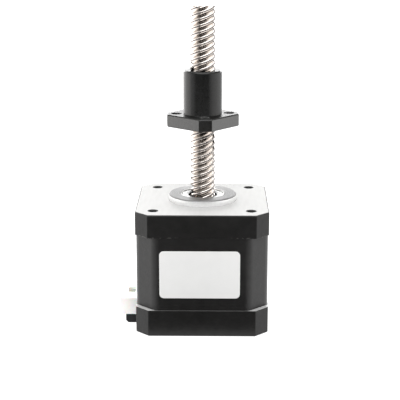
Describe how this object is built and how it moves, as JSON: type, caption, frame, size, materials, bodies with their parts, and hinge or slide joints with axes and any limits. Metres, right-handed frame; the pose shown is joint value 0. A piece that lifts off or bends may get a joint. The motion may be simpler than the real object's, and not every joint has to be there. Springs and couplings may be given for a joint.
{
  "type": "lead screw stepper motor",
  "caption": "Square-framed hybrid stepper motor whose shaft is a multi-start lead screw with a flanged plastic nut; a side connector feeds the coils.",
  "frame": {"origin": "centre of the mounting face, on the screw axis", "axes": "+Z out along the screw, -Y towards the label, -X towards the connector"},
  "size_m": [0.0481, 0.0424, 0.103],
  "materials": {
    "cap_metal": "black paint on cast aluminium, the mounting face and boss machined bright",
    "bare_aluminium": "turned bright",
    "stack_paint": "satin black paint on the laminations",
    "bobbin_plastic": "natural moulded plastic",
    "winding_copper": "enamelled copper wire",
    "contact_brass": "bright",
    "board_laminate": "solder mask",
    "shelf_plastic": "moulded, semi-gloss",
    "header_plastic": "moulded, semi-gloss",
    "label_paper": "coated paper, left blank",
    "fastener_steel": "zinc plated",
    "bearing_steel": "ground and polished",
    "screw_steel": "rolled stainless steel",
    "rotor_iron": "ground laminations",
    "magnet": "sintered, nickel plated",
    "nut_plastic": "machined black plastic"
  },
  "bodies": {
    "motor": {"front_cap": "cap_metal", "pilot_ring": "bare_aluminium", "rear_cap": "cap_metal", "stator_core": "stack_paint", "front_bobbin": "bobbin_plastic", "rear_bobbin": "bobbin_plastic", "coil_1": "winding_copper", "coil_2": "winding_copper", "coil_3": "winding_copper", "coil_4": "winding_copper", "coil_5": "winding_copper", "coil_6": "winding_copper", "coil_7": "winding_copper", "coil_8": "winding_copper", "winding_terminals": "contact_brass", "terminal_board": "board_laminate", "connector_shelf": "shelf_plastic", "connector_housing": "header_plastic", "connector_pins": "contact_brass", "label": "label_paper", "housing_screws": "fastener_steel", "preload_washer": "fastener_steel", "front_bearing_case": "bearing_steel", "rear_bearing_case": "bearing_steel"},
    "rotor": {"lead_screw": "screw_steel", "rotor_front_core": "rotor_iron", "rotor_rear_core": "rotor_iron", "rotor_magnet": "magnet", "front_spacer": "contact_brass", "rear_spacer": "contact_brass", "front_bearing_inner_ring": "bearing_steel", "rear_bearing_inner_ring": "bearing_steel"},
    "nut": {"flange_nut": "nut_plastic"}
  },
  "joints": [
    {"name": "screw_spin", "type": "hinge", "parent": "motor", "child": "rotor", "pos_m": [0, 0, 0], "axis": [0, 0, 1], "range_deg": [-900, 990]},
    {"name": "nut_travel", "type": "slide", "parent": "motor", "child": "nut", "axis": [0, 0, 1], "range_m": [-0.0221, 0.0201]}
  ],
  "couplings": [
    {"joint": "nut_travel", "follows": "screw_spin", "m_per_rad": -0.0012732}
  ]
}
